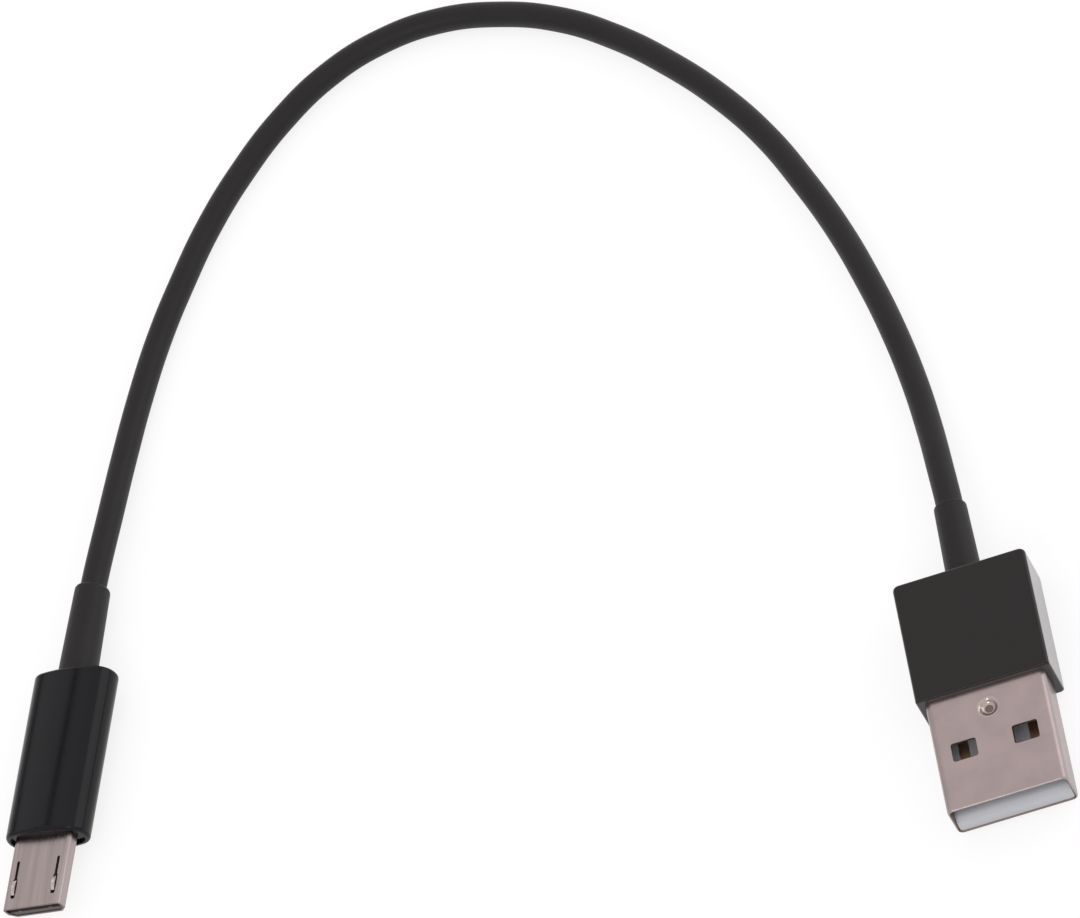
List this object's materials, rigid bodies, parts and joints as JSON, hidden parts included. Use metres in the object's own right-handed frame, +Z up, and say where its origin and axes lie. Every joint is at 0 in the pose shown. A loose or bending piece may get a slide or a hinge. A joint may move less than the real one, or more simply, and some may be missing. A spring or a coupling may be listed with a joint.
{
  "type": "charging cable",
  "caption": "Short black charging cable: a wide flat plug and a small latching plug, each with a tapered strain relief, on a thin round cord that lies in an arch.",
  "frame": {"origin": "middle of the wide plug's housing on its underside, on the surface that the cable lies on", "axes": "+Z up from that surface, +Y from the wide plug's nose towards its cord, +X to the right of that plug, so the small plug lies towards -X"},
  "size_m": [0.1078, 0.1133, 0.0059],
  "materials": {
    "nickel_steel": "satin nickel plate on folded sheet",
    "white_plastic": "smooth white",
    "gold_plate": "thin gold plate",
    "solder": "bright solder",
    "natural_mould": "natural moulding, hidden",
    "soft_black": "matt soft black",
    "satin_black": "satin black",
    "gloss_black": "gloss black",
    "dark_insulator": "dark grey",
    "red_core": "red",
    "white_core": "white",
    "green_core": "green",
    "black_core": "black"
  },
  "bodies": {
    "cable": {"type_a_shell": "nickel_steel", "type_a_tongue": "white_plastic", "type_a_contact_power": "gold_plate", "type_a_contact_data_minus": "gold_plate", "type_a_contact_data_plus": "gold_plate", "type_a_contact_ground": "gold_plate", "type_a_solder": "solder", "type_a_inner_mould": "natural_mould", "type_a_housing": "satin_black", "type_a_strain_relief": "soft_black", "cord_jacket": "soft_black", "core_red": "red_core", "core_white": "white_core", "core_green": "green_core", "core_black": "black_core", "micro_b_strain_relief": "soft_black", "micro_b_housing": "gloss_black", "micro_b_inner_mould": "natural_mould", "micro_b_shell": "nickel_steel", "micro_b_insulator": "dark_insulator", "micro_b_tails": "gold_plate", "micro_b_solder": "solder"},
    "latch_left": {"micro_b_latch_left": "nickel_steel"},
    "latch_right": {"micro_b_latch_right": "nickel_steel"},
    "contact_power": {"micro_b_contact_power": "gold_plate"},
    "contact_data_minus": {"micro_b_contact_data_minus": "gold_plate"},
    "contact_data_plus": {"micro_b_contact_data_plus": "gold_plate"},
    "contact_id": {"micro_b_contact_id": "gold_plate"},
    "contact_ground": {"micro_b_contact_ground": "gold_plate"}
  },
  "joints": [
    {"name": "latch_left_press", "type": "hinge", "parent": "cable", "child": "latch_left", "pos_m": [-0.09763, 0.01123, 0.00234], "axis": [0.9422, -0.2755, 0.1908], "range_deg": [0, 3], "stiffness_Nm_per_rad": 0.05},
    {"name": "latch_right_press", "type": "hinge", "parent": "cable", "child": "latch_right", "pos_m": [-0.0931, 0.00991, 0.00326], "axis": [0.9422, -0.2755, 0.1908], "range_deg": [0, 3], "stiffness_Nm_per_rad": 0.05},
    {"name": "contact_power_flex", "type": "hinge", "parent": "cable", "child": "contact_power", "pos_m": [-0.09424, 0.00972, 0.00282], "axis": [0.9422, -0.2755, 0.1908], "range_deg": [0, 2.5], "stiffness_Nm_per_rad": 0.02},
    {"name": "contact_data_minus_flex", "type": "hinge", "parent": "cable", "child": "contact_data_minus", "pos_m": [-0.09485, 0.0099, 0.0027], "axis": [0.9422, -0.2755, 0.1908], "range_deg": [0, 2.5], "stiffness_Nm_per_rad": 0.02},
    {"name": "contact_data_plus_flex", "type": "hinge", "parent": "cable", "child": "contact_data_plus", "pos_m": [-0.09546, 0.01008, 0.00258], "axis": [0.9422, -0.2755, 0.1908], "range_deg": [0, 2.5], "stiffness_Nm_per_rad": 0.02},
    {"name": "contact_id_flex", "type": "hinge", "parent": "cable", "child": "contact_id", "pos_m": [-0.09608, 0.01026, 0.00245], "axis": [0.9422, -0.2755, 0.1908], "range_deg": [0, 2.5], "stiffness_Nm_per_rad": 0.02},
    {"name": "contact_ground_flex", "type": "hinge", "parent": "cable", "child": "contact_ground", "pos_m": [-0.09669, 0.01044, 0.00233], "axis": [0.9422, -0.2755, 0.1908], "range_deg": [0, 2.5], "stiffness_Nm_per_rad": 0.02}
  ]
}
